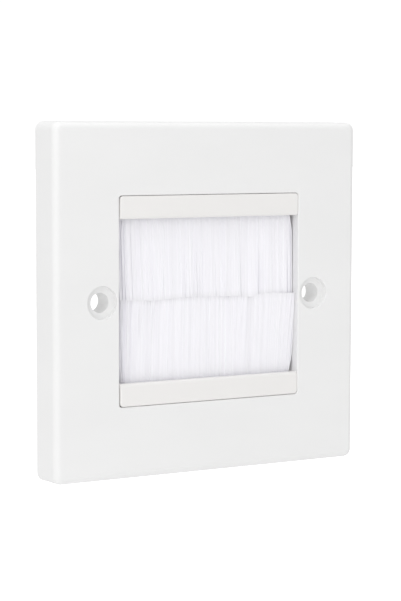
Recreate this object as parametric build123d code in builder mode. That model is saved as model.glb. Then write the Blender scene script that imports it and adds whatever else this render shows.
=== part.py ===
"""Single brush wall plate: a moulded square face plate with a snap-in brush insert.

Millimetres. The wall plane is Y = 0, the plate's front faces -Y, +X is right and +Z is up.
The origin is the centre of the plate's back rim, where it meets the wall.
"""

import os
from math import sin

from build123d import *

os.makedirs("parts", exist_ok=True)

# Face plate
plate_width = 86.0
plate_height = 86.0
plate_depth = 9.5
plate_corner_radius = 2.2
front_edge_radius = 1.7
side_draft = 1.0
side_border = 17.4
edge_border = 17.6
face_wall = 2.6
side_wall = 2.3
cavity_corner_radius = 1.6
opening_rim_radius = 0.3

# Fixing screws close beside the opening, which puts them on the standard centres, 60.3 apart
screw_hole_diameter = 4.8
counterbore_diameter = 8.0
counterbore_depth = 1.5
counterbore_rim_radius = 0.15
counterbore_clearance = 0.55
boss_wall = 1.6
boss_end_depth = 6.9

# Stiffening ribs behind the face, and a collar at each side of the opening
collar_setback = 0.4
collar_thickness = 1.2
collar_end_depth = 6.8
rib_thickness = 1.2
rib_end_depth = 6.2
edge_rib_spacing = 34.0

# Brush insert, pushed to the right in its opening, and the gaps round it
left_gap = 0.3
right_gap = 0.05
upright_gap = 0.1
opening_corner_radius = 0.8
insert_corner_radius = 0.9
bar_height = 5.55
bar_wall = 1.6
bar_edge_radius = 0.35
bar_inner_radius = 0.7
frame_wall = 1.2
pocket_end_wall = 0.8
rear_wall = 1.4
rail_recess = 5.4
rail_width = 3.4

# Snap fit: a ledge behind the opening's top and bottom, caught by lugs on the insert
ledge_thickness = 1.4
ledge_overlap = 0.95
ledge_root = 1.5
snap_clearance = 0.1
seat_clearance = 0.05
lug_width = 7.0
lug_spacing = 28.0
lug_rise = 0.6
lug_land = 0.35
lug_length = 1.6

# Brush strips: a folded channel, a core wire and bristles bent round the wire
strip_left_clearance = 2.5
strip_right_clearance = 0.2
channel_width = 3.6
channel_height = 3.1
channel_sheet = 0.45
channel_pinch = 0.25
channel_bend = 0.8
channel_clearance = 0.2
mouth_setback = 0.15
wire_diameter = 1.1
wire_clearance = 0.03
fold_thickness = 0.6
fold_clearance = 0.1

# Bristles, gathered in bundles side by side: the rhythms, in radians a bundle, keep them uneven
bundle_count = 58
bundle_waver = 0.2
bundle_rhythm = 2.4
groove_depth = 0.3
neck_thickness = 1.9
tip_thickness = 3.0
tip_spread = 0.7
tip_gap = 0.3
tip_ragged = 0.45
tip_rhythm_short = 1.7
tip_rhythm_long = 0.45
parting_longest = 7.0
parting_shortest = 2.8
parting_rhythm = 2.1
parting_width = 0.16

# Places worked out from the sizes
opening_width = plate_width - 2 * side_border
opening_height = plate_height - 2 * edge_border
screw_spacing = opening_width + counterbore_diameter + 2 * counterbore_clearance
insert_width = opening_width - left_gap - right_gap
insert_height = opening_height - 2 * upright_gap
insert_shift = (left_gap - right_gap) / 2
ledge_inner = opening_height / 2 - ledge_overlap
ledge_height = ledge_overlap + ledge_root
collar_outer = opening_width / 2 + collar_setback + collar_thickness
member_outer = ledge_inner - snap_clearance
shoulder_depth = face_wall - seat_clearance
bar_inner = insert_height / 2 - bar_height
pocket_depth = channel_width + 2 * channel_clearance
frame_depth = bar_wall + pocket_depth + rear_wall
pocket_top = member_outer - frame_wall
pocket_length = insert_width - 2 * pocket_end_wall
strip_length = pocket_length - strip_left_clearance - strip_right_clearance
strip_shift = insert_shift + (strip_left_clearance - strip_right_clearance) / 2
strip_depth = bar_wall + pocket_depth / 2
mouth_height = bar_inner + mouth_setback
channel_top = mouth_height + channel_height
fold_radius = wire_diameter / 2 + wire_clearance + fold_thickness
wire_height = channel_top - channel_sheet - fold_clearance - fold_radius


def behind_face(depth):
    """The plane this far behind the plate's front face, turned to the room."""
    return Plane.XZ.offset(plate_depth - depth)


def at_depth(depth):
    """The Y of a point this far behind the plate's front face."""
    return depth - plate_depth


# Face plate: a hollow-backed moulding
with BuildPart() as face_plate:
    with BuildSketch(Plane.XZ):
        RectangleRounded(plate_width, plate_height, plate_corner_radius)
    extrude(amount=plate_depth, taper=side_draft)
    fillet(face_plate.faces().sort_by(Axis.Y)[0].edges(), front_edge_radius)
    with BuildSketch(Plane.XZ):
        RectangleRounded(plate_width - 2 * side_wall, plate_height - 2 * side_wall, cavity_corner_radius)
    extrude(amount=plate_depth - face_wall, taper=side_draft, mode=Mode.SUBTRACT)

    # Ledges that the insert's shoulders rest on and its lugs catch behind, as long as the collars are apart
    with BuildSketch(behind_face(face_wall)):
        with GridLocations(1, 2 * ledge_inner + ledge_height, 1, 2):
            Rectangle(2 * collar_outer, ledge_height)
    extrude(amount=-ledge_thickness)

    # Collars up both sides of the opening
    with BuildSketch(behind_face(face_wall)):
        with GridLocations(2 * collar_outer - collar_thickness, 1, 2, 1):
            Rectangle(collar_thickness, opening_height)
    extrude(amount=face_wall - collar_end_depth)

    # Screw bosses, each tied to the side wall by a rib
    with BuildSketch(behind_face(face_wall)):
        with GridLocations(screw_spacing, 1, 2, 1):
            Circle(screw_hole_diameter / 2 + boss_wall)
    extrude(amount=face_wall - boss_end_depth)
    boss_rib_length = (plate_width - side_wall - screw_spacing) / 2
    with BuildSketch(behind_face(face_wall)):
        with GridLocations(screw_spacing + boss_rib_length, 1, 2, 1):
            Rectangle(boss_rib_length, rib_thickness)
    extrude(amount=face_wall - rib_end_depth)

    # Ribs from the ledges to the top and bottom walls
    edge_rib_start = ledge_inner + ledge_height / 2
    edge_rib_length = (plate_height - side_wall) / 2 - edge_rib_start
    with BuildSketch(behind_face(face_wall)):
        with GridLocations(edge_rib_spacing, 2 * edge_rib_start + edge_rib_length, 2, 2):
            Rectangle(rib_thickness, edge_rib_length)
    extrude(amount=face_wall - rib_end_depth)

    # Opening for the insert, and the counterbored screw holes
    with BuildSketch(behind_face(0)):
        RectangleRounded(opening_width, opening_height, opening_corner_radius)
    extrude(amount=-face_wall, mode=Mode.SUBTRACT)
    with Locations(behind_face(0)):
        with GridLocations(screw_spacing, 1, 2, 1):
            CounterBoreHole(screw_hole_diameter / 2, counterbore_diameter / 2, counterbore_depth)

    # Softened rims on the front: the opening's is the longest
    rims = face_plate.faces().sort_by(Axis.Y)[0].inner_wires().sort_by(SortBy.LENGTH)
    fillet(rims[-1].edges(), opening_rim_radius)
    rims = face_plate.faces().sort_by(Axis.Y)[0].inner_wires().sort_by(SortBy.LENGTH)
    fillet(rims[:-1].edges(), counterbore_rim_radius)

face_plate.part.label = "face_plate"
export_step(face_plate.part, "parts/face_plate.step")


# Insert frame: two flush bars with a pocket behind each, joined by rails set back at the sides
with BuildPart() as insert_frame:
    # Upper member, solid, then its pocket for the brush strip
    with BuildSketch(Plane.YZ.offset(insert_shift)):
        with BuildLine():
            Polyline(
                (at_depth(0), bar_inner),
                (at_depth(0), insert_height / 2),
                (at_depth(shoulder_depth), insert_height / 2),
                (at_depth(shoulder_depth), member_outer),
                (at_depth(frame_depth), member_outer),
                (at_depth(frame_depth), bar_inner),
                close=True,
            )
        make_face()
    extrude(amount=insert_width / 2, both=True)
    with BuildSketch(Plane.YZ.offset(insert_shift)):
        with Locations((at_depth(strip_depth), pocket_top)):
            Rectangle(pocket_depth, pocket_top - bar_inner, align=(Align.CENTER, Align.MAX))
    extrude(amount=pocket_length / 2, both=True, mode=Mode.SUBTRACT)

    # Rounded corners to suit the opening's
    fillet(insert_frame.edges().filter_by(Axis.Y).group_by(Axis.Z)[-1], insert_corner_radius)

    # Softened edges on the visible bar, the most beside the bristles
    fillet(insert_frame.faces().sort_by(Axis.Y)[0].edges().sort_by(Axis.Z)[0], bar_inner_radius)
    fillet(insert_frame.faces().sort_by(Axis.Y)[0].edges().sort_by(Axis.Z)[1:], bar_edge_radius)

    # Lugs that catch behind the ledge, sloped so that they ride over it
    lug_start = face_wall + ledge_thickness + snap_clearance
    for place in (-lug_spacing / 2, lug_spacing / 2):
        with BuildSketch(Plane.YZ.offset(insert_shift + place)):
            with BuildLine():
                Polyline(
                    (at_depth(lug_start), member_outer),
                    (at_depth(lug_start), member_outer + lug_rise),
                    (at_depth(lug_start + lug_land), member_outer + lug_rise),
                    (at_depth(lug_start + lug_length), member_outer),
                    close=True,
                )
            make_face()
        extrude(amount=lug_width / 2, both=True)

    # The lower member is the upper one's mirror image
    mirror(about=Plane.XY)

    # Side rails, set back so that the bristles show right up to the plate, and wide enough to close the
    # slits beside them
    with BuildSketch(behind_face(rail_recess)):
        with Locations((insert_shift, 0)):
            with GridLocations(insert_width - rail_width, 1, 2, 1):
                Rectangle(rail_width, 2 * member_outer)
    extrude(amount=rail_recess - frame_depth)

insert_frame.part.label = "insert_frame"
export_step(insert_frame.part, "parts/insert_frame.step")


# Upper channel: sheet folded into a U, pinched in at its mouth to grip the bristles
with BuildPart() as upper_channel:
    fold_middle = at_depth(strip_depth)
    fold_half = (channel_width - channel_sheet) / 2
    fold_top = channel_top - channel_sheet / 2
    with BuildSketch(Plane.YZ.offset(strip_shift)):
        with BuildLine():
            FilletPolyline(
                (fold_middle - fold_half + channel_pinch, mouth_height),
                (fold_middle - fold_half, fold_top),
                (fold_middle + fold_half, fold_top),
                (fold_middle + fold_half - channel_pinch, mouth_height),
                radius=channel_bend,
            )
        trace(line_width=channel_sheet)
    extrude(amount=strip_length / 2, both=True)

upper_channel.part.label = "upper_channel"
export_step(upper_channel.part, "parts/upper_channel.step")

with BuildPart() as lower_channel:
    mirror(upper_channel.part, about=Plane.XY)

lower_channel.part.label = "lower_channel"
export_step(lower_channel.part, "parts/lower_channel.step")


# Core wires, one inside each fold
with BuildPart() as upper_core_wire:
    with BuildSketch(Plane.YZ.offset(strip_shift)):
        with Locations((at_depth(strip_depth), wire_height)):
            Circle(wire_diameter / 2)
    extrude(amount=strip_length / 2, both=True)

upper_core_wire.part.label = "upper_core_wire"
export_step(upper_core_wire.part, "parts/upper_core_wire.step")

with BuildPart() as lower_core_wire:
    mirror(upper_core_wire.part, about=Plane.XY)

lower_core_wire.part.label = "lower_core_wire"
export_step(lower_core_wire.part, "parts/lower_core_wire.step")


def bundle_edge(number):
    """Where bundle NUMBER starts along the strip, as a share from -0.5 to 0.5, with uneven widths."""
    waver = bundle_waver * sin(bundle_rhythm * number) if 0 < number < bundle_count else 0
    return (number + waver) / bundle_count - 0.5


def fluted_section(height, length, thickness):
    """A level section of the bristles: a strip fluted on both sides, one ridge to a bundle."""
    front, back = [], []
    for number in range(bundle_count):
        start, end = bundle_edge(number) * length, bundle_edge(number + 1) * length
        front += [(start, groove_depth - thickness / 2), ((start + end) / 2, -thickness / 2)]
        back += [(start, thickness / 2 - groove_depth), ((start + end) / 2, thickness / 2)]
    far = length / 2
    front.append((far, groove_depth - thickness / 2))
    back.append((far, thickness / 2 - groove_depth))
    with BuildSketch(Plane((strip_shift, at_depth(strip_depth), height))) as section:
        with BuildLine():
            Polyline(*front, *reversed(back), close=True)
        make_face()
    return section.sketch


def ragged_edge(side):
    """The line of the tips, with a parting between bundles. Both rows share its waves, so they meet."""
    points = []
    for number in range(bundle_count):
        wave = tip_ragged * (sin(tip_rhythm_short * number) + sin(tip_rhythm_long * number)) / 2
        tip = tip_gap / 2 + side * wave
        share = (1 + sin(parting_rhythm * number + side)) / 2
        apex = tip + parting_shortest + (parting_longest - parting_shortest) * share
        tip_length = strip_length + 2 * tip_spread
        apex_length = strip_length + 2 * tip_spread * (1 - apex / mouth_height)
        points += [
            (bundle_edge(number) * tip_length + parting_width / 2, tip),
            (bundle_edge(number + 1) * tip_length - parting_width / 2, tip),
            (bundle_edge(number + 1) * apex_length, apex),
        ]
    return points[:-1]


def bristle_row(side):
    """An upper row of bristles: folded round the wire, held in the channel and hanging to mid-height."""
    with BuildPart() as row:
        # The fold and the neck inside the channel
        with BuildSketch(Plane.YZ.offset(strip_shift)):
            with Locations((at_depth(strip_depth), wire_height)):
                Circle(fold_radius)
                Rectangle(neck_thickness, wire_height - mouth_height, align=(Align.CENTER, Align.MAX))
                Circle(wire_diameter / 2 + wire_clearance, mode=Mode.SUBTRACT)
        extrude(amount=strip_length / 2, both=True)
        # The free length, thicker and wider at the tips
        root = fluted_section(mouth_height, strip_length, neck_thickness)
        tips = fluted_section(-tip_ragged, strip_length + 2 * tip_spread, tip_thickness)
        loft(sections=(root, tips), ruled=True)
        # Uneven tips, parted between the bundles
        edge = ragged_edge(side)
        margin = strip_length / 2 + 2 * tip_spread
        below = -2 * tip_ragged
        with BuildSketch(behind_face(strip_depth).move(Location((strip_shift, 0, 0)))):
            with BuildLine():
                Polyline(
                    (-margin, below), (-margin, edge[0][1]), *edge,
                    (margin, edge[-1][1]), (margin, below), close=True,
                )
            make_face()
        extrude(amount=tip_thickness, both=True, mode=Mode.SUBTRACT)
    return row.part


with BuildPart() as upper_bristles:
    add(bristle_row(side=1))

upper_bristles.part.label = "upper_bristles"
export_step(upper_bristles.part, "parts/upper_bristles.step")

with BuildPart() as lower_bristles:
    mirror(bristle_row(side=-1), about=Plane.XY)

lower_bristles.part.label = "lower_bristles"
export_step(lower_bristles.part, "parts/lower_bristles.step")
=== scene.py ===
"""Brush wall plate: finishes for its mouldings and metal, two rows of bristles, and the studio."""

import math
import random

import bmesh
import bpy
from bpy.props import FloatProperty, FloatVectorProperty, IntProperty, PointerProperty
from mathutils import Matrix, Vector, noise


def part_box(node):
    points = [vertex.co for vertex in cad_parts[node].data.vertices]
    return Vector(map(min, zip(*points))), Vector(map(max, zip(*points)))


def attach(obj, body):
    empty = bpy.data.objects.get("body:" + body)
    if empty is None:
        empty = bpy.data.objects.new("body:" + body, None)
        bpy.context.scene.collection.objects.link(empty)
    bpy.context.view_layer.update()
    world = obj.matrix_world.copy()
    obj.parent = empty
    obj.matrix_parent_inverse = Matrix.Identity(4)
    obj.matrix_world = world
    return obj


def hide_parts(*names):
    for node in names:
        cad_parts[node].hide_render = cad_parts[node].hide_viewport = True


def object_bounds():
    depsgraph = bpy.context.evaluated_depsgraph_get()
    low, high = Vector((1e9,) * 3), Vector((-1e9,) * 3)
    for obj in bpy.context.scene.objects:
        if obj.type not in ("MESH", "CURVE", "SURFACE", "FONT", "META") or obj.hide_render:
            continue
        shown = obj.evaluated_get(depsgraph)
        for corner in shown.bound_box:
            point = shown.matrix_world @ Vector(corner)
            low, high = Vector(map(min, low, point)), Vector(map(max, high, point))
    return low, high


bl_info = {
    "name": "Brush Wall Plate",
    "version": (1, 0, 0),
    "blender": (4, 5, 0),
    "location": "3D View > Sidebar > Brush Plate",
    "description": "Finishes a moulded wall plate, fills its window with bristles and lights it",
    "category": "Object",
}

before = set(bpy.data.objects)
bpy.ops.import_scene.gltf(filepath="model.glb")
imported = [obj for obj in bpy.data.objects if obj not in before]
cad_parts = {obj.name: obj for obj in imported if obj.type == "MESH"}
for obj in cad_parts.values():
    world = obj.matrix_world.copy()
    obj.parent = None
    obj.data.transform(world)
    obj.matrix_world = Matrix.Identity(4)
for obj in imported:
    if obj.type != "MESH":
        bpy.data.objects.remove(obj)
cad_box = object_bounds()

MM = 0.001


# Finishes

PLASTIC_IOR = 1.49
NYLON_IOR = 1.53
METAL_IOR = 1.5

# Noises: their features a metre, their detail, and how many times closer they lie along each axis
FLOW_MARKS = (38, 3, (1, 1, 2.2))
SPECKS = (2600, 2)
FINE_SPECKS = (5200, 1)
DRAWN_LINES = (900, 4, (0.02, 1, 1))
METAL_CLOUDS = (260, 3)
NYLON_BLOTCHES = (300, 2, (1, 1, 0.2))
NYLON_LINES = (5200, 1, (1, 1, 0.15))

# Bumps: their height in metres and their strength
FLOW_BUMP = (0.00006, 0.25)
DRAWN_BUMP = (0.00003, 0.4)
NYLON_BUMP = (0.00001, 0.3)
GRAIN_STRENGTH = 0.35

# Shares in a blend: of the flow marks in a moulding's tone beside the specks, of the specks in
# its grain beside the fine ones, of the drawn lines in a metal's tone beside the clouds, and of
# the filaments' own tones beside the blotches
FLOW_SHARE = 0.75
SPECK_SHARE = 0.6
DRAWN_SHARE = 0.6
TONE_SHARE = 0.7
# The flow marks' ramp, which strengthens them
FLOW_RAMP = ((0.3, 0.0), (0.7, 1.0))

# How much of its base colour each material keeps at its darkest
MOULDING_SHADOW = 0.975
NYLON_SHADOW = 0.92

# How far the roughness swings with the flow marks, the specks, the metal's clouds and the tones
FLOW_SWING = 0.10
SPECK_SWING = 0.08
CLOUD_SWING = 0.14
TONE_SWING = 0.16

# Metals: their base colour, the colour of their darker lines, and their roughness
CHANNEL_ALUMINIUM = ((0.80, 0.81, 0.82), (0.62, 0.63, 0.65), 0.34)
WIRE_STEEL = ((0.66, 0.66, 0.67), (0.48, 0.48, 0.50), 0.28)

# Nylon: its roughness, the colour of the painted shade at the filaments' tips, where the two rows
# meet, the ramp of that along the length, and how much of it shows
NYLON_ROUGHNESS = 0.42
TIP_SHADE_COLOUR = (0.80, 0.795, 0.81)
TIP_SHADE_RAMP = ((0.94, 0.0), (1.0, 1.0))
TIP_SHADE_SHARE = 0.35


class Shade:
    """One socket of a node tree. Arithmetic on it adds Math nodes."""

    def __init__(self, tree, socket):
        self.tree = tree
        self.socket = socket

    def math(self, operation, first, second):
        return self.tree.node("ShaderNodeMath", {"operation": operation}, {0: first, 1: second})

    def __add__(self, other):
        return self.math("ADD", self, other)

    def __radd__(self, other):
        return self.math("ADD", other, self)

    def __sub__(self, other):
        return self.math("SUBTRACT", self, other)

    def __rsub__(self, other):
        return self.math("SUBTRACT", other, self)

    def __mul__(self, other):
        return self.math("MULTIPLY", self, other)

    def __rmul__(self, other):
        return self.math("MULTIPLY", other, self)


class Tree:
    """A node tree under construction, of a material or of the surround."""

    def __init__(self, owner):
        owner.use_nodes = True
        self.nodes = owner.node_tree.nodes
        self.links = owner.node_tree.links

    def node(self, kind, settings=None, values=None, output=0):
        """Adds a node, sets it up, fills or links its inputs and returns one of its outputs."""
        node = self.nodes.new(kind)
        for name, setting in (settings or {}).items():
            if name == "stops":
                ramp = node.color_ramp
                for position, tone in setting[1:-1]:
                    ramp.elements.new(position)
                for element, (position, tone) in zip(ramp.elements, setting):
                    element.position = position
                    element.color = (tone, tone, tone, 1)
            else:
                setattr(node, name, setting)
        for name, value in (values or {}).items():
            self.fill(node.inputs[name], value)
        return Shade(self, node.outputs[output])

    def fill(self, socket, value):
        """Links a shade to a socket, or sets the socket to a colour or a number."""
        if isinstance(value, Shade):
            self.links.new(value.socket, socket)
        elif isinstance(value, (tuple, list)) and len(value) == 3 and socket.type == "RGBA":
            socket.default_value = (*value, 1)
        else:
            socket.default_value = value


class Finish(Tree):
    """A material under construction, with a Principled surface."""

    def __init__(self, name, **constants):
        self.material = bpy.data.materials.new(name)
        super().__init__(self.material)
        self.surface = self.nodes["Principled BSDF"]
        self.dress(**constants)

    def place(self):
        """The piece's own coordinates, in metres."""
        return self.node("ShaderNodeTexCoord", output="Object")

    def scaled(self, scale):
        return self.node("ShaderNodeMapping", {}, {"Vector": self.place(), "Scale": scale})

    def grain(self, scale, detail, stretch=(1, 1, 1)):
        """Noise with SCALE features a metre, times STRETCH along each axis."""
        values = {"Vector": self.scaled(stretch), "Scale": scale, "Detail": detail}
        return self.node("ShaderNodeTexNoise", {}, values)

    def ramp(self, value, *stops):
        return self.node("ShaderNodeValToRGB", {"stops": stops}, {"Fac": value})

    def mix(self, factor, first, second):
        """A colour between two others."""
        values = {0: factor, 6: first, 7: second}
        return self.node("ShaderNodeMix", {"data_type": "RGBA"}, values, output=2)

    def bump(self, height, distance, strength, normal=None):
        values = {"Height": height, "Distance": distance, "Strength": strength}
        if normal is not None:
            values["Normal"] = normal
        return self.node("ShaderNodeBump", {}, values)

    def attribute(self, name):
        return self.node("ShaderNodeAttribute", {"attribute_name": name}, output="Fac")

    def dress(self, **inputs):
        """Links or sets the surface's inputs."""
        for socket, value in inputs.items():
            self.fill(self.surface.inputs[socket.replace("_", " ")], value)


def shaded(colour, share):
    """COLOUR with only SHARE of its light."""
    return [share * part for part in colour]


def blend(share, first, second):
    """SHARE of the first shade, and the rest of the second."""
    return first * share + second * (1 - share)


def swing(shade, width):
    """A shade from 0 to 1, as a swing of WIDTH about 0."""
    return (shade - 0.5) * width


def cover(node_name, finish):
    """Gives a CAD node its finish."""
    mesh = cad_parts[node_name].data
    mesh.materials.clear()
    mesh.materials.append(finish.material)


def moulded_finish(name, colour, roughness, grain_depth):
    """Moulded plastic: a fine spark-eroded grain, faint flow marks and a slightly uneven gloss."""
    finish = Finish(name, IOR=PLASTIC_IOR, Specular_IOR_Level=0.5)
    flow = finish.grain(*FLOW_MARKS)
    speck = finish.grain(*SPECKS)
    fine = finish.grain(*FINE_SPECKS)
    tone = blend(FLOW_SHARE, finish.ramp(flow, *FLOW_RAMP), speck)
    grain = blend(SPECK_SHARE, speck, fine)
    waves = finish.bump(flow, *FLOW_BUMP)
    finish.dress(
        Base_Color=finish.mix(tone, shaded(colour, MOULDING_SHADOW), colour),
        Roughness=roughness + swing(flow, FLOW_SWING) + swing(speck, SPECK_SWING),
        Normal=finish.bump(grain, grain_depth, GRAIN_STRENGTH, waves),
    )
    return finish


def metal_finish(name, colour, dark, roughness):
    """Drawn or rolled metal, with fine lines along its length."""
    finish = Finish(name, IOR=METAL_IOR, Metallic=1.0)
    lines = finish.grain(*DRAWN_LINES)
    cloud = finish.grain(*METAL_CLOUDS)
    finish.dress(
        Base_Color=finish.mix(blend(DRAWN_SHARE, lines, cloud), dark, colour),
        Roughness=roughness + swing(cloud, CLOUD_SWING),
        Normal=finish.bump(lines, *DRAWN_BUMP),
    )
    return finish


def nylon_finish(name, colour):
    """White nylon: each filament has its own tone, and its tips are darkened with painted shade
    along the line where the two rows meet.
    """
    finish = Finish(name, IOR=NYLON_IOR, Specular_IOR_Level=0.5)
    tone = finish.attribute("filament_tone")
    length = finish.attribute("filament_length")
    blotch = finish.grain(*NYLON_BLOTCHES)
    lines = finish.grain(*NYLON_LINES)
    body = finish.mix(blend(TONE_SHARE, tone, blotch), shaded(colour, NYLON_SHADOW), colour)
    # Painted shade: the last of each filament's length is darkened, as shade along the line where
    # the rows meet
    tip_shade = finish.ramp(length, *TIP_SHADE_RAMP) * TIP_SHADE_SHARE
    finish.dress(
        Base_Color=finish.mix(tip_shade, body, TIP_SHADE_COLOUR),
        Roughness=NYLON_ROUGHNESS + swing(tone, TONE_SWING),
        Normal=finish.bump(lines, *NYLON_BUMP),
    )
    return finish


# Bristles. Lengths are in millimetres here and in Row

# Each row's place, the sign of its heights, and the seed of its draws
ROWS = (("upper", 1, 11), ("lower", -1, 43))

# Where the front tips of the two rows meet, across and up
TIP_LINE = (
    (-22, 0.14), (-14.4, -0.18), (-9, 0.13), (-3.7, 0.32),
    (8, 0.0), (13.2, -0.38), (16.2, 0.40), (26, 0.16),
)
# Between these places across, the lower row comes to the front
LOWER_IN_FRONT = (13.0, 16.0)
# How far one row's tips step to the front and the other's to the back
FRONT_STEP = 0.14
# How far the row behind reaches past the line, and how much shorter the front row is at its back
REAR_REACH = 0.35
CUT_SLOPE = 0.10

# Bundles: their relative widths, the spread of their leans, and the most that they fall short
# and differ in tone
BUNDLE_WIDTHS = (0.45, 1.6)
BUNDLE_LEAN = 0.04
BUNDLE_SHORTFALL = 0.08
BUNDLE_TONE = 0.3

# Waves along a row, as their length, their line in the noise and their height: of the tips to
# the side, of the tips to the front, and of the filaments' bow
SIDE_WAVE = (5.0, 5.3, 0.25)
FRONT_WAVE = (2.2, 3.1, 0.12)
BOW_WAVE = (1.1, 7.7, 0.10)
# How far apart two rows lie in the noise for each step of their seeds
SEED_STEP = 1.7

# Where a filament stands in its cell, along the row and from front to back
PLACE_ALONG = (-0.1, 0.6)
PLACE_DEEP = (-0.3, 0.3)
# Spread of single filaments: of their tips to the side and to the front, and of their length,
# bow and tone
SIDE_SPREAD = 0.05
FRONT_SPREAD = 0.04
LENGTH_SPREAD = 0.06
BOW_SPREAD = 0.05
TONE_SPREAD = 0.22
# How far strays lean to a side, bow, come to the front and fall short
STRAY_SIDE = (0.3, 1.2)
STRAY_BOW = 0.4
STRAY_FRONT = 0.25
STRAY_SHORTFALL = 0.5

# Shares of a filament's length: where it is clear of the pocket, and where the fan opens
CLEAR_OF_POCKET = 0.2
FAN_OPENS = (-0.2, 0.08)
# A filament leaves its root straight and leans later, by this power of the share of its length
LATE_LEAN = 1.35
# Shares of the way from a row's middle to its end: where the fan and the bulge begin
FAN_START = 0.95
BULGE_START = 0.8

# Degrees that turn a flat side of a filament's triangle to the front or back, and their play
FLAT_TURN = 30
TURN_PLAY = 20

# The fold round the core wire: its inner and outer radius, where in it the filaments start,
# and the steps of its bend
FOLD = (0.58, 1.2)
FOLD_STARTS = (0.63, 1.10)
FOLD_STEPS = 10


def eased(low, high, value):
    """0 below LOW, 1 above HIGH and smooth between."""
    share = min(max((value - low) / (high - low), 0), 1)
    return share * share * (3 - 2 * share)


def along(points, x):
    """The smooth line through POINTS, each an x and a height, at x."""
    if x <= points[0][0]:
        return points[0][1]
    for (x0, z0), (x1, z1) in zip(points, points[1:]):
        if x <= x1:
            return z0 + (z1 - z0) * eased(x0, x1, x)
    return points[-1][1]


def in_mm(lengths):
    """Lengths or places in metres, as millimetres."""
    return [length / MM for length in lengths]


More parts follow.
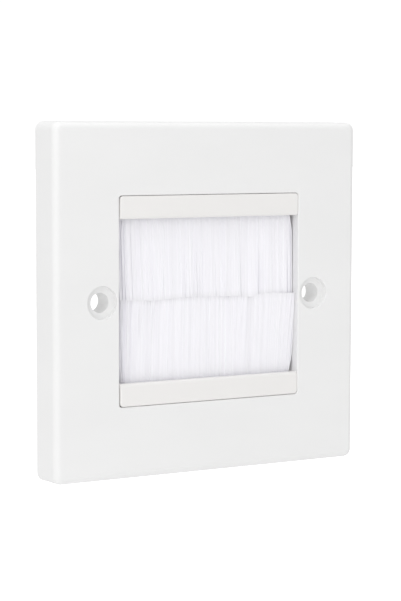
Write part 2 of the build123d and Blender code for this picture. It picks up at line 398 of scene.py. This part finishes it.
class Row:
    """One row of bristles. UP is 1 for the upper row and -1 for the lower one, and a height is
    the distance from mid-height, whichever the row."""

    def __init__(self, settings, place, up, seed):
        self.settings = settings
        self.up = up
        self.seed = seed
        self.chance = random.Random(seed)
        low, high = in_mm(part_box(f"{place}_core_wire"))
        middle = (low + high) / 2
        self.centre_x, self.centre_y, self.root = middle.x, middle.y, abs(middle.z)
        self.half_length = (high.x - low.x) / 2
        low, high = in_mm(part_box(f"{place}_channel"))
        self.mouth = min(abs(low.z), abs(high.z))
        thickness, neck, tips, self.bulge, self.side_limit = in_mm((
            settings.thickness, settings.neck_depth, settings.tip_depth,
            settings.bulge, settings.side_limit,
        ))
        self.half_neck = (neck - thickness) / 2
        self.half_tips = (tips - thickness) / 2
        self.leans_at_ends = in_mm(settings.lean_upper if up > 0 else settings.lean_lower)
        self.fan_reach = in_mm(settings.fan)
        self.pocket_ends = in_mm(settings.pocket_ends)
        self.edges = self.bundle_edges()
        self.leans = self.bundle_leans()

    def bundle_edges(self):
        """Uneven edges of the bundles that the filaments gather into, as shares from -1 to 1."""
        widths = [self.chance.uniform(*BUNDLE_WIDTHS) for _ in range(self.settings.bundles)]
        total, edges = sum(widths), [-1.0]
        for width in widths:
            edges.append(edges[-1] + 2 * width / total)
        return edges

    def bundle_leans(self):
        """How each bundle gathers, leans to a side and to the front, falls short, and its tone."""
        chance, settings = self.chance, self.settings
        return [
            {
                "gather": chance.uniform(0.0, settings.gather),
                "side": chance.gauss(0, BUNDLE_LEAN),
                "front": chance.gauss(0, BUNDLE_LEAN),
                "short": chance.uniform(0.0, BUNDLE_SHORTFALL),
                "tone": chance.uniform(-BUNDLE_TONE, BUNDLE_TONE),
            }
            for _ in range(settings.bundles)
        ]

    def bundle_of(self, share):
        """The number of the bundle at SHARE of the row, and its middle."""
        inner_edges = enumerate(self.edges[1:-1])
        number = next((n for n, edge in inner_edges if share <= edge), len(self.leans) - 1)
        return number, (self.edges[number] + self.edges[number + 1]) / 2

    def wave(self, x, length, line, height):
        """Noise along the row."""
        return height * noise.noise(Vector((x / length, line, self.seed * SEED_STEP)))

    def end_lean(self, across):
        """How far the row's own ends lean to the right of their roots at the tips."""
        left, right = self.leans_at_ends
        return left * eased(0.0, 1.0, -across) + right * eased(0.0, 1.0, across)

    def fan(self, across, depth):
        """How far a filament near a row's end spreads to the window's side: the rear ones most."""
        left, right = self.fan_reach
        reach = max((1 + depth) / 2, self.chance.random() ** 2)
        spread = right * eased(FAN_START, 1.0, across) - left * eased(FAN_START, 1.0, -across)
        return spread * reach

    def kept_in(self, x, share):
        """X kept between the pocket's ends at its mouth, and the window's sides further on."""
        clear = eased(0, CLEAR_OF_POCKET, share)
        left, right = (end + (self.side_limit - end) * clear for end in self.pocket_ends)
        return min(max(x, -left), right)

    def tip(self, root_x, across, depth, lean, heart):
        """Where a filament's tip lies: across, behind the row's middle and up."""
        chance = self.chance
        x = root_x + (heart - across) * lean["gather"] * self.half_length + self.end_lean(across)
        x += lean["side"] + self.wave(root_x, *SIDE_WAVE) + chance.gauss(0, SIDE_SPREAD)
        # The row in front ends on the line, and the row behind it reaches a little past
        ahead = self.up * (1 - 2 * eased(*LOWER_IN_FRONT, x))
        y = depth * self.half_tips + lean["front"] - FRONT_STEP * ahead
        y += chance.gauss(0, FRONT_SPREAD) + self.wave(root_x, *FRONT_WAVE)
        if self.up < 0:
            y -= self.bulge * eased(BULGE_START, 1.0, across)
        past = -CUT_SLOPE * depth if ahead > 0 else REAR_REACH
        z = along(TIP_LINE, x) * self.up - past + lean["short"]
        return x, y, z + abs(chance.gauss(0, LENGTH_SPREAD))

    def filament(self, column, layer):
        """The points of one filament's line, from the fold to its tip, and its bundle's number."""
        chance, settings = self.chance, self.settings
        # Every other layer stands half a cell further along
        cell = column + 0.5 * (layer % 2)
        across = (cell + chance.uniform(*PLACE_ALONG)) / settings.columns * 2 - 1
        across = min(max(across, -1), 1)
        depth = (layer + 0.5 + chance.uniform(*PLACE_DEEP)) / settings.layers * 2 - 1
        number, heart = self.bundle_of(across)
        root_x = self.centre_x + across * self.half_length
        tip_x, tip_y, tip_z = self.tip(root_x, across, depth, self.leans[number], heart)
        bow = chance.gauss(0, BOW_SPREAD) + self.wave(root_x, *BOW_WAVE)
        fan = self.fan(across, depth)
        if chance.random() < settings.strays:
            tip_x += chance.choice((-1, 1)) * chance.uniform(*STRAY_SIDE)
            bow += chance.gauss(0, STRAY_BOW)
            tip_y -= chance.uniform(0.0, STRAY_FRONT)
            tip_z += chance.uniform(0.0, STRAY_SHORTFALL)
        inner, outer = FOLD_STARTS
        start_y = math.copysign(inner + (outer - inner) * abs(depth), depth)
        mouth_y = depth * self.half_neck
        points = [(root_x, self.centre_y + start_y, self.root)]
        steps = settings.segments - 1
        for step in range(steps + 1):
            share = step / steps
            x = root_x + (tip_x - root_x) * share ** LATE_LEAN
            x += bow * math.sin(math.pi * share) * share + fan * eased(*FAN_OPENS, share)
            y = self.centre_y + mouth_y + (tip_y - mouth_y) * share
            points.append((self.kept_in(x, share), y, self.mouth + (tip_z - self.mouth) * share))
        return points, number

    def filaments(self):
        """Each filament's line in metres, its tone, and 1 in the row's rear half or -1 in front."""
        filaments = []
        for column in range(self.settings.columns):
            for layer in range(self.settings.layers):
                points, bundle = self.filament(column, layer)
                line = [Vector((x, y, z * self.up)) * MM for x, y, z in points]
                tone = self.chance.gauss(0.5, TONE_SPREAD) + self.leans[bundle]["tone"]
                rear = math.copysign(1, (layer + 0.5) / self.settings.layers - 0.5)
                filaments.append((line, min(max(tone, 0), 1), rear))
        return filaments

    def mesh(self, name):
        """The row's mesh: a small triangle drawn out along each filament's line, and the fold."""
        build = bmesh.new()
        number_of = build.verts.layers.int.new("number")
        tone_of = build.verts.layers.float.new("filament_tone")
        length_of = build.verts.layers.float.new("filament_length")
        filaments = self.filaments()
        self.add_triangles(build, filaments, number_of, tone_of)
        self.draw_out(build, filaments, number_of, length_of)
        self.add_fold(build, tone_of)
        bmesh.ops.recalc_face_normals(build, faces=build.faces[:])
        build.verts.layers.int.remove(number_of)
        mesh = bpy.data.meshes.new(name)
        build.to_mesh(mesh)
        build.free()
        return mesh

    def add_triangles(self, build, filaments, number_of, tone_of):
        """A triangle at the start of each filament, with a flat side to the front or the back."""
        radius = self.settings.thickness / 2
        bmesh.ops.create_circle(build, cap_ends=True, segments=3, radius=radius)
        while len(build.faces) < len(filaments):
            bmesh.ops.duplicate(build, geom=build.faces[:])
        bmesh.ops.delete(build, geom=build.faces[len(filaments):], context="FACES")
        for number, (face, (line, tone, rear)) in enumerate(zip(build.faces, filaments)):
            degrees = FLAT_TURN * rear + self.chance.uniform(-TURN_PLAY, TURN_PLAY)
            turn = Matrix.Rotation(math.radians(degrees), 3, "Z")
            for vert in face.verts:
                vert.co = line[0] + turn @ vert.co
                vert[number_of] = number
                vert[tone_of] = tone
        if self.up > 0:
            bmesh.ops.reverse_faces(build, faces=build.faces[:])

    def draw_out(self, build, filaments, number_of, length_of):
        """Extrudes each triangle along its filament's line, and closes the filament's start."""
        ends = build.faces[:]
        rings = self.settings.segments
        for ring in range(1, rings + 1):
            ends = bmesh.ops.extrude_discrete_faces(build, faces=ends)["faces"]
            for face in ends:
                for vert in face.verts:
                    line = filaments[vert[number_of]][0]
                    vert.co += line[ring] - line[ring - 1]
                    vert[length_of] = ring / rings
        bare = [edge for edge in build.edges if edge.is_boundary]
        bmesh.ops.holes_fill(build, edges=bare, sides=3)

    def add_fold(self, build, tone_of):
        """The bend over the core wire: a band of filaments turned half round it."""
        before = set(build.verts)
        bundles = self.settings.bundles
        grid = bmesh.ops.create_grid(build, x_segments=bundles, y_segments=1, size=0.5)
        inner, outer = FOLD
        for vert in grid["verts"]:
            share_x, share_y = vert.co.x * 2, vert.co.y + 0.5
            vert.co = Vector((
                self.centre_x + share_x * self.half_length,
                self.centre_y + inner + (outer - inner) * share_y,
                self.root * self.up,
            )) * MM
            vert[tone_of] = 0.5
        bmesh.ops.spin(
            build,
            geom=[face for face in build.faces if before.isdisjoint(face.verts)],
            cent=Vector((self.centre_x, self.centre_y, self.root * self.up)) * MM,
            axis=(1, 0, 0),
            angle=math.pi * self.up,
            steps=FOLD_STEPS,
            use_merge=False,
            use_duplicate=False,
        )


# Settings


class MouldingSettings(bpy.types.PropertyGroup):
    """The moulded pieces' colours and surface."""

    plate_colour: FloatVectorProperty(
        name="Plate colour", description="Base colour of the face plate",
        subtype="COLOR", size=3, min=0, max=1, default=(0.862, 0.862, 0.860),
    )
    insert_colour: FloatVectorProperty(
        name="Insert colour",
        description="Base colour of the brush insert, a little warmer than the plate",
        subtype="COLOR", size=3, min=0, max=1, default=(0.858, 0.846, 0.833),
    )
    roughness: FloatProperty(
        name="Roughness", description="Roughness of the moulded surfaces",
        subtype="FACTOR", min=0, max=1, default=0.42,
    )
    grain_depth: FloatProperty(
        name="Grain depth", description="Height of the spark-eroded grain",
        unit="LENGTH", min=0, default=0.000012,
    )


class BristleSettings(bpy.types.PropertyGroup):
    """The two rows of bristles."""

    colour: FloatVectorProperty(
        name="Colour", description="Base colour of the filaments",
        subtype="COLOR", size=3, min=0, max=1, default=(0.955, 0.948, 0.980),
    )
    columns: IntProperty(
        name="Columns", description="Filaments along the row", min=10, max=2000, default=480,
    )
    layers: IntProperty(
        name="Layers", description="Filaments from the front to the back", min=2, default=9,
    )
    segments: IntProperty(
        name="Segments", description="Straight lengths of each filament", min=2, max=10, default=6,
    )
    bundles: IntProperty(
        name="Bundles", description="Bundles that the filaments gather into", min=2, default=58,
    )
    thickness: FloatProperty(
        name="Thickness", description="Diameter of one filament",
        unit="LENGTH", min=0, default=0.00028,
    )
    neck_depth: FloatProperty(
        name="Neck depth", description="Depth of the row at the channel's mouth",
        unit="LENGTH", min=0, default=0.0019,
    )
    tip_depth: FloatProperty(
        name="Tip depth", description="Depth of the row at its tips",
        unit="LENGTH", min=0, default=0.003,
    )
    gather: FloatProperty(
        name="Gather", description="How far a bundle's tips draw together, at most",
        subtype="FACTOR", min=0, max=1, default=0.10,
    )
    lean_upper: FloatVectorProperty(
        name="Lean of the upper ends",
        description="How far the upper row's left and right ends lean to the right",
        unit="LENGTH", size=2, default=(0.0005, 0.0001),
    )
    lean_lower: FloatVectorProperty(
        name="Lean of the lower ends",
        description="How far the lower row's left and right ends lean to the right",
        unit="LENGTH", size=2, default=(0.00025, 0.00075),
    )
    fan: FloatVectorProperty(
        name="Fan", description="How far the rear filaments spread at the left and right ends",
        unit="LENGTH", size=2, default=(0.0028, 0.0016),
    )
    bulge: FloatProperty(
        name="Bulge", description="How far the lower row's right end leans to the front",
        unit="LENGTH", default=0.0008,
    )
    pocket_ends: FloatVectorProperty(
        name="Pocket ends",
        description="How far to the left and right the pocket's ends stop the filaments",
        unit="LENGTH", size=2, default=(0.02435, 0.0246),
    )
    side_limit: FloatProperty(
        name="Side limit", description="How far out the window's sides stop the filaments",
        unit="LENGTH", min=0, default=0.0254,
    )
    strays: FloatProperty(
        name="Strays", description="Share of the filaments that stray from their bundle",
        subtype="FACTOR", min=0, max=1, default=0.05,
    )


class StudioSettings(bpy.types.PropertyGroup):
    """The camera, the floor and the light."""

    lens: FloatProperty(
        name="Lens", description="Focal length of the camera",
        subtype="DISTANCE_CAMERA", default=118.22,
    )
    floor_drop: FloatProperty(
        name="Floor drop", description="How far the floor lies under the plate",
        unit="LENGTH", min=0, default=0.06,
    )
    floor_glow: FloatProperty(
        name="Floor glow", description="Light of the floor's own that only the camera sees",
        min=0, default=0.6,
    )
    surround: FloatProperty(
        name="Surround", description="Brightness of the white surround", min=0, default=0.64,
    )
    overhead: FloatProperty(
        name="Overhead", description="Power of the overhead softbox",
        subtype="POWER", unit="POWER", default=7.0,
    )
    front: FloatProperty(
        name="Front", description="Power of the front softbox",
        subtype="POWER", unit="POWER", default=2.27,
    )


# Operators


class BRUSHPLATE_OT_mouldings(bpy.types.Operator):
    """Finish the face plate and the brush insert in moulded plastic"""

    bl_idname = "brushplate.mouldings"
    bl_label = "Finish the Mouldings"

    def execute(self, context):
        settings = context.scene.brushplate_mouldings
        colours = {"face_plate": settings.plate_colour, "insert_frame": settings.insert_colour}
        for node_name, colour in colours.items():
            finish = moulded_finish(
                f"{node_name}_plastic", list(colour), settings.roughness, settings.grain_depth
            )
            cover(node_name, finish)
        return {"FINISHED"}


class BRUSHPLATE_OT_strip_metal(bpy.types.Operator):
    """Finish the folded channels and the core wires in metal"""

    bl_idname = "brushplate.strip_metal"
    bl_label = "Finish the Strip Metal"

    def execute(self, context):
        channel = metal_finish("channel_aluminium", *CHANNEL_ALUMINIUM)
        wire = metal_finish("wire_steel", *WIRE_STEEL)
        for place, _, _ in ROWS:
            cover(f"{place}_channel", channel)
            cover(f"{place}_core_wire", wire)
        return {"FINISHED"}


class BRUSHPLATE_OT_bristles(bpy.types.Operator):
    """Make both rows of bristles, filament by filament"""

    bl_idname = "brushplate.bristles"
    bl_label = "Make the Bristles"

    def execute(self, context):
        settings = context.scene.brushplate_bristles
        finish = nylon_finish("bristle_nylon", list(settings.colour))
        for place, up, seed in ROWS:
            name = f"{place}_bristle_row"
            row = bpy.data.objects.new(name, Row(settings, place, up, seed).mesh(name))
            context.scene.collection.objects.link(row)
            row.data.materials.append(finish.material)
            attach(row, "root")
            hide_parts(f"{place}_bristles")
        return {"FINISHED"}


# Studio

# Softboxes: the side of their square, and where they stand, in metres
OVERHEAD_SOFTBOX = (1.4, (-0.1, -0.1, 1.1))
FRONT_SOFTBOX = (0.8, (-0.6, -0.6, 0.15))
# The floor: how far it reaches each way, in metres, its colour and its roughness
FLOOR_REACH = 6
PAPER_WHITE = (0.93, 0.93, 0.93)
PAPER_ROUGHNESS = 0.9
# Brightness of the surround behind the plate, as the camera sees it
SEEN_WHITE = 1.02
# White surfaces light each other through many bounces
BOUNCES = 24
DIFFUSE_BOUNCES = 16
# The camera: its place in millimetres, its turn to the right, tilt down and roll in degrees,
# the width of its sensor in millimetres, and what it sees, in metres
EYE = (-251.02, -420.71, 41.0)
VIEW_TURN = (31.09, 4.94, 0.13)
SENSOR_WIDTH = 36
SIGHT = (0.01, 50)


def softbox(scene, name, power, size, place):
    """A square area light at PLACE, turned to the middle of the plate."""
    lamp = bpy.data.lights.new(name, "AREA")
    lamp.energy = power
    lamp.size = size
    lamp_object = bpy.data.objects.new(name, lamp)
    lamp_object.location = place
    lamp_object.rotation_euler = (-Vector(place)).to_track_quat("-Z", "Y").to_euler()
    scene.collection.objects.link(lamp_object)


class BRUSHPLATE_OT_studio(bpy.types.Operator):
    """Lay the pale floor, place the lights and set up the camera"""

    bl_idname = "brushplate.studio"
    bl_label = "Set Up the Studio"

    def execute(self, context):
        scene = context.scene
        settings = scene.brushplate_studio
        self.floor(scene, settings.floor_drop, settings.floor_glow)
        self.surround(scene, settings.surround)
        softbox(scene, "overhead_softbox", settings.overhead, *OVERHEAD_SOFTBOX)
        softbox(scene, "front_softbox", settings.front, *FRONT_SOFTBOX)
        self.camera(scene, settings.lens)
        scene.view_settings.view_transform = "Standard"
        scene.cycles.max_bounces = BOUNCES
        scene.cycles.diffuse_bounces = DIFFUSE_BOUNCES
        return {"FINISHED"}

    def floor(self, scene, drop, glow):
        """White paper under the plate, which glows for the camera alone."""
        build = bmesh.new()
        bmesh.ops.create_grid(build, x_segments=4, y_segments=4, size=FLOOR_REACH)
        bmesh.ops.translate(build, verts=build.verts[:], vec=(0, 0, cad_box[0].z - drop))
        mesh = bpy.data.meshes.new("studio_floor")
        build.to_mesh(mesh)
        build.free()
        paper = bpy.data.objects.new("studio_floor", mesh)
        scene.collection.objects.link(paper)
        finish = Finish("white_paper", Base_Color=PAPER_WHITE, Roughness=PAPER_ROUGHNESS)
        seen = finish.node("ShaderNodeLightPath", output="Is Camera Ray")
        finish.dress(Emission_Color=seen, Emission_Strength=glow)
        mesh.materials.append(finish.material)

    def surround(self, scene, strength):
        """White light from all round, which the camera sees as plain white."""
        scene.world = bpy.data.worlds.new("white_surround")
        tree = Tree(scene.world)
        seen = tree.node("ShaderNodeLightPath", output="Is Camera Ray")
        background = tree.nodes["Background"]
        tree.fill(background.inputs["Color"], (1, 1, 1))
        tree.fill(background.inputs["Strength"], strength + seen * (SEEN_WHITE - strength))

    def camera(self, scene, lens):
        """The camera at the photograph's viewing angle."""
        yaw, pitch, roll = (math.radians(angle) for angle in VIEW_TURN)
        level = Vector((math.cos(yaw), -math.sin(yaw), 0))
        ahead = Vector((
            math.sin(yaw) * math.cos(pitch),
            math.cos(yaw) * math.cos(pitch),
            -math.sin(pitch),
        ))
        upright = level.cross(ahead)
        right = level * math.cos(roll) + upright * math.sin(roll)
        up = upright * math.cos(roll) - level * math.sin(roll)
        camera = bpy.data.cameras.new("photo_camera")
        camera.sensor_width = SENSOR_WIDTH
        camera.lens = lens
        camera.clip_start, camera.clip_end = SIGHT
        camera_object = bpy.data.objects.new("photo_camera", camera)
        turn = Matrix((right, up, -ahead)).transposed().to_4x4()
        camera_object.matrix_world = Matrix.Translation(Vector(EYE) * MM) @ turn
        scene.collection.objects.link(camera_object)
        scene.camera = camera_object


# Panel and registration


class BRUSHPLATE_PT_panel(bpy.types.Panel):
    """The plate's steps and settings"""

    bl_idname = "BRUSHPLATE_PT_panel"
    bl_label = "Brush Wall Plate"
    bl_space_type = "VIEW_3D"
    bl_region_type = "UI"
    bl_category = "Brush Plate"

    def draw(self, context):
        for step, group_name in STEPS:
            box = self.layout.box()
            box.operator(step.bl_idname)
            if group_name:
                group = getattr(context.scene, group_name)
                for name in GROUPS[group_name].__annotations__:
                    box.prop(group, name)


STEPS = (
    (BRUSHPLATE_OT_mouldings, "brushplate_mouldings"),
    (BRUSHPLATE_OT_strip_metal, None),
    (BRUSHPLATE_OT_bristles, "brushplate_bristles"),
    (BRUSHPLATE_OT_studio, "brushplate_studio"),
)
GROUPS = {
    "brushplate_mouldings": MouldingSettings,
    "brushplate_bristles": BristleSettings,
    "brushplate_studio": StudioSettings,
}
CLASSES = (*GROUPS.values(), *(step for step, _ in STEPS), BRUSHPLATE_PT_panel)


def register():
    for new_class in CLASSES:
        bpy.utils.register_class(new_class)
    for name, group in GROUPS.items():
        setattr(bpy.types.Scene, name, PointerProperty(type=group))


def unregister():
    for name in GROUPS:
        delattr(bpy.types.Scene, name)
    for old_class in reversed(CLASSES):
        bpy.utils.unregister_class(old_class)


def main():
    register()
    bpy.ops.brushplate.mouldings()
    bpy.ops.brushplate.strip_metal()
    bpy.ops.brushplate.bristles()
    bpy.ops.brushplate.studio()


if __name__ == "__main__":
    main()
